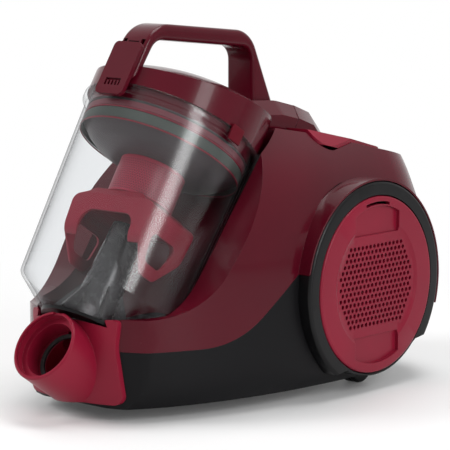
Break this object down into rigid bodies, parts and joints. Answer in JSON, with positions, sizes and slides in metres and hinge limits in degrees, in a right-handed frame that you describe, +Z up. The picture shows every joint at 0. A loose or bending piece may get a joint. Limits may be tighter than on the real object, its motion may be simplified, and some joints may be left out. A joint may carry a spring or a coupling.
{
  "type": "canister vacuum cleaner",
  "caption": "Bagless canister vacuum cleaner: tilted clear dust bin with carry handle on a low wheeled body, hose inlet in front, foot pedals behind, round exhaust filter covers on the flanks.",
  "frame": {"origin": "on the floor under the middle of the machine's bounding box", "axes": "+Z up; -Y is the front with the hose inlet; +X is the side with the power pedal; X = 0 is the plane of symmetry"},
  "size_m": [0.239, 0.3901, 0.2985],
  "materials": {
    "base_black": "fine satin moulded black",
    "shell_burgundy": "high gloss burgundy",
    "crimson": "satin crimson",
    "clear_bin": "clear polished polycarbonate",
    "ring_black": "satin black",
    "column_grey": "satin grey",
    "mesh_grey": "satin grey mesh",
    "seal_rubber": "soft black rubber",
    "foam": "open-cell black foam",
    "filter_pleats": "white filter fleece",
    "steel": "drawn steel",
    "spring_steel": "spring wire",
    "motor_plastic": "glass-filled black nylon",
    "fan_white": "natural nylon",
    "copper": "enamelled copper and laminated iron",
    "iron": "laminated iron",
    "reel_grey": "grey polypropylene",
    "wheel_tread": "black wheel",
    "board_green": "circuit board"
  },
  "bodies": {
    "chassis": {"base_housing": "base_black", "upper_shell": "shell_burgundy", "inlet_collar": "crimson", "inlet_seal": "seal_rubber", "duct_seal": "seal_rubber", "power_spring": "spring_steel", "rewind_spring": "spring_steel", "fender_right": "ring_black", "fender_left": "ring_black", "exhaust_filter_right": "filter_pleats", "exhaust_filter_left": "filter_pleats", "rear_axle_right": "steel", "rear_axle_left": "steel", "motor_housing": "motor_plastic", "motor_end_cap": "motor_plastic", "fan_shroud": "motor_plastic", "motor_bearings": "steel", "motor_stator": "iron", "motor_brushes": "motor_plastic", "motor_mounts": "seal_rubber", "reel_axle": "reel_grey", "reel_spring_case": "reel_grey", "brake_pin": "steel", "cord_outlet": "seal_rubber", "circuit_board": "board_green", "power_switch": "motor_plastic", "housing_screws": "steel"},
    "power_pedal_body": {"power_pedal": "crimson"},
    "rewind_pedal_body": {"rewind_pedal": "crimson"},
    "brake": {"brake_lever": "fan_white"},
    "bin": {"dust_bin": "clear_bin", "bin_base_ring": "ring_black", "intake_column": "column_grey", "cyclone_hood": "crimson", "mesh_tube": "crimson", "separator_plate": "mesh_grey", "foam_filter": "foam", "bin_seal": "seal_rubber"},
    "lid": {"bin_lid": "shell_burgundy", "carry_handle": "shell_burgundy", "latch_pin": "steel", "latch_spring": "spring_steel", "lid_catches": "crimson"},
    "latch": {"release_latch": "shell_burgundy"},
    "cover_right": {"filter_cover_right": "crimson"},
    "cover_left": {"filter_cover_left": "crimson"},
    "wheel_right": {"rear_wheel_right": "wheel_tread"},
    "wheel_left": {"rear_wheel_left": "wheel_tread"},
    "caster": {"caster_fork": "ring_black", "caster_axle": "steel"},
    "caster_roller": {"caster_wheel": "wheel_tread"},
    "rotor": {"fan_impeller": "fan_white", "motor_shaft": "steel", "motor_armature": "copper"},
    "reel": {"cord_reel": "reel_grey"}
  },
  "joints": [
    {"name": "power_press", "type": "slide", "parent": "chassis", "child": "power_pedal_body", "axis": [0, 0, -1], "range_m": [0, 0.004], "stiffness_N_per_m": 600, "springref_m": -0.004, "deforming": ["power_spring"]},
    {"name": "rewind_press", "type": "slide", "parent": "chassis", "child": "rewind_pedal_body", "axis": [0, 0, -1], "range_m": [0, 0.004], "stiffness_N_per_m": 600, "springref_m": -0.004, "deforming": ["rewind_spring"]},
    {"name": "brake_turn", "type": "hinge", "parent": "chassis", "child": "brake", "pos_m": [-0.0443, 0.136, 0.162], "axis": [-1, 0, 0], "range_deg": [0, 22.5]},
    {"name": "bin_lift", "type": "slide", "parent": "chassis", "child": "bin", "axis": [0, 0, 1], "range_m": [0, 0.15]},
    {"name": "lid_pull", "type": "slide", "parent": "bin", "child": "lid", "axis": [0, 0.5461, 0.8377], "range_m": [0, 0.12]},
    {"name": "latch_tilt", "type": "hinge", "parent": "lid", "child": "latch", "pos_m": [0, -0.07897, 0.27975], "axis": [-1, 0, 0], "range_deg": [0, 7], "stiffness_Nm_per_rad": 0.3, "springref_deg": -8.59},
    {"name": "cover_twist_right", "type": "hinge", "parent": "chassis", "child": "cover_right", "pos_m": [0.116, 0.08, 0.0875], "axis": [1, 0, 0], "range_deg": [0, 20]},
    {"name": "cover_twist_left", "type": "hinge", "parent": "chassis", "child": "cover_left", "pos_m": [-0.116, 0.08, 0.0875], "axis": [-1, 0, 0], "range_deg": [0, 20]},
    {"name": "wheel_spin_right", "type": "hinge", "parent": "chassis", "child": "wheel_right", "pos_m": [0.083, 0.098, 0.014], "axis": [1, 0, 0], "continuous": true},
    {"name": "wheel_spin_left", "type": "hinge", "parent": "chassis", "child": "wheel_left", "pos_m": [-0.083, 0.098, 0.014], "axis": [1, 0, 0], "continuous": true},
    {"name": "caster_swivel", "type": "hinge", "parent": "chassis", "child": "caster", "pos_m": [0, -0.106, 0.03], "axis": [0, 0, 1], "continuous": true},
    {"name": "caster_roll", "type": "hinge", "parent": "caster", "child": "caster_roller", "pos_m": [0, -0.101, 0.012], "axis": [1, 0, 0], "continuous": true},
    {"name": "rotor_spin", "type": "hinge", "parent": "chassis", "child": "rotor", "pos_m": [0.04, 0.105, 0.108], "axis": [1, 0, 0], "continuous": true},
    {"name": "reel_spin", "type": "hinge", "parent": "chassis", "child": "reel", "pos_m": [-0.061, 0.1, 0.104], "axis": [1, 0, 0], "continuous": true}
  ],
  "couplings": [
    {"joint": "brake_turn", "follows": "rewind_press", "rad_per_m": 95}
  ]
}
